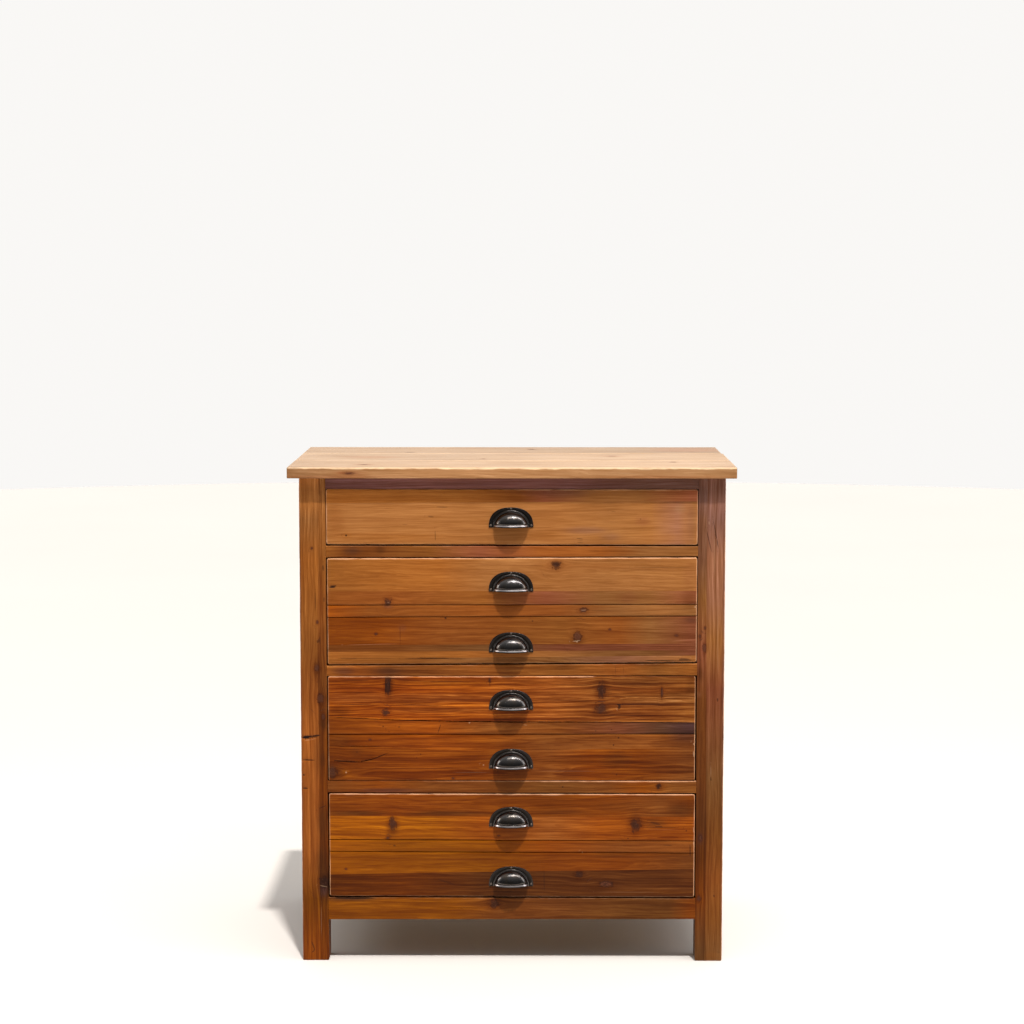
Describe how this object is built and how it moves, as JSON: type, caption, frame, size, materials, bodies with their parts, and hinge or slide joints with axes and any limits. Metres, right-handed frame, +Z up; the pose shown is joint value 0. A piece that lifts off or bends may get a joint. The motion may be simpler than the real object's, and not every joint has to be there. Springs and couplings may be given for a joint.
{
  "type": "chest of drawers",
  "caption": "Floor-standing softwood chest of drawers with square post legs, plank top, inset drawers on wooden runners, scored false drawer lines and dark cup pulls.",
  "frame": {"origin": "on the floor, under the middle of the top board", "axes": "+X to the viewer's right when facing the drawers, +Y from front to back, +Z up"},
  "size_m": [0.9, 0.53, 1.015],
  "materials": {
    "top_wood": "satin lacquer over honey-stained reclaimed softwood, eased and dented edges",
    "frame_wood": "satin lacquer over red-brown stained reclaimed softwood",
    "panel_wood": "satin lacquer over red-brown stained reclaimed softwood boards",
    "drawer_front_wood": "satin lacquer over edge-glued staves of reclaimed softwood, with knots and open cracks",
    "inner_wood": "planed bare softwood",
    "plywood": "sanded bare plywood",
    "dark_nickel": "dark nickel plate, polished, browner where handled",
    "dark_pins": "dark nickel plate",
    "screw_steel": "zinc plate"
  },
  "bodies": {
    "carcass": {"back_panel": "plywood", "back_rail_lower": "inner_wood", "back_rail_top": "inner_wood", "bottom_rail": "frame_wood", "drawer_stops": "inner_wood", "frieze_rail": "frame_wood", "front_rail_lower": "frame_wood", "front_rail_middle": "frame_wood", "front_rail_upper": "frame_wood", "post_front_left": "frame_wood", "post_front_right": "frame_wood", "post_rear_left": "frame_wood", "post_rear_right": "frame_wood", "runners_drawer_1": "inner_wood", "runners_drawer_2": "inner_wood", "runners_drawer_3": "inner_wood", "runners_drawer_4": "inner_wood", "side_panel_left": "panel_wood", "side_panel_right": "panel_wood", "side_rail_lower_left": "frame_wood", "side_rail_lower_right": "frame_wood", "side_rail_top_left": "frame_wood", "side_rail_top_right": "frame_wood", "top_kickers": "inner_wood", "top_plank_front": "top_wood", "top_plank_middle": "top_wood", "top_plank_rear": "top_wood", "top_screws": "screw_steel"},
    "drawer_1": {"cup_pull_1": "dark_nickel", "drawer_1_back": "inner_wood", "drawer_1_bottom": "plywood", "drawer_1_front": "drawer_front_wood", "drawer_1_side_left": "inner_wood", "drawer_1_side_right": "inner_wood", "pull_pins_drawer_1": "dark_pins"},
    "drawer_2": {"cup_pull_2": "dark_nickel", "cup_pull_3": "dark_nickel", "drawer_2_back": "inner_wood", "drawer_2_bottom": "plywood", "drawer_2_front": "drawer_front_wood", "drawer_2_side_left": "inner_wood", "drawer_2_side_right": "inner_wood", "pull_pins_drawer_2": "dark_pins"},
    "drawer_3": {"cup_pull_4": "dark_nickel", "cup_pull_5": "dark_nickel", "drawer_3_back": "inner_wood", "drawer_3_bottom": "plywood", "drawer_3_front": "drawer_front_wood", "drawer_3_side_left": "inner_wood", "drawer_3_side_right": "inner_wood", "pull_pins_drawer_3": "dark_pins"},
    "drawer_4": {"cup_pull_6": "dark_nickel", "cup_pull_7": "dark_nickel", "drawer_4_back": "inner_wood", "drawer_4_bottom": "plywood", "drawer_4_front": "drawer_front_wood", "drawer_4_side_left": "inner_wood", "drawer_4_side_right": "inner_wood", "pull_pins_drawer_4": "dark_pins"}
  },
  "joints": [
    {"name": "drawer_1_slide", "type": "slide", "parent": "carcass", "child": "drawer_1", "axis": [0, -1, 0], "range_m": [0, 0.3]},
    {"name": "drawer_2_slide", "type": "slide", "parent": "carcass", "child": "drawer_2", "axis": [0, -1, 0], "range_m": [0, 0.3]},
    {"name": "drawer_3_slide", "type": "slide", "parent": "carcass", "child": "drawer_3", "axis": [0, -1, 0], "range_m": [0, 0.3]},
    {"name": "drawer_4_slide", "type": "slide", "parent": "carcass", "child": "drawer_4", "axis": [0, -1, 0], "range_m": [0, 0.3]}
  ]
}
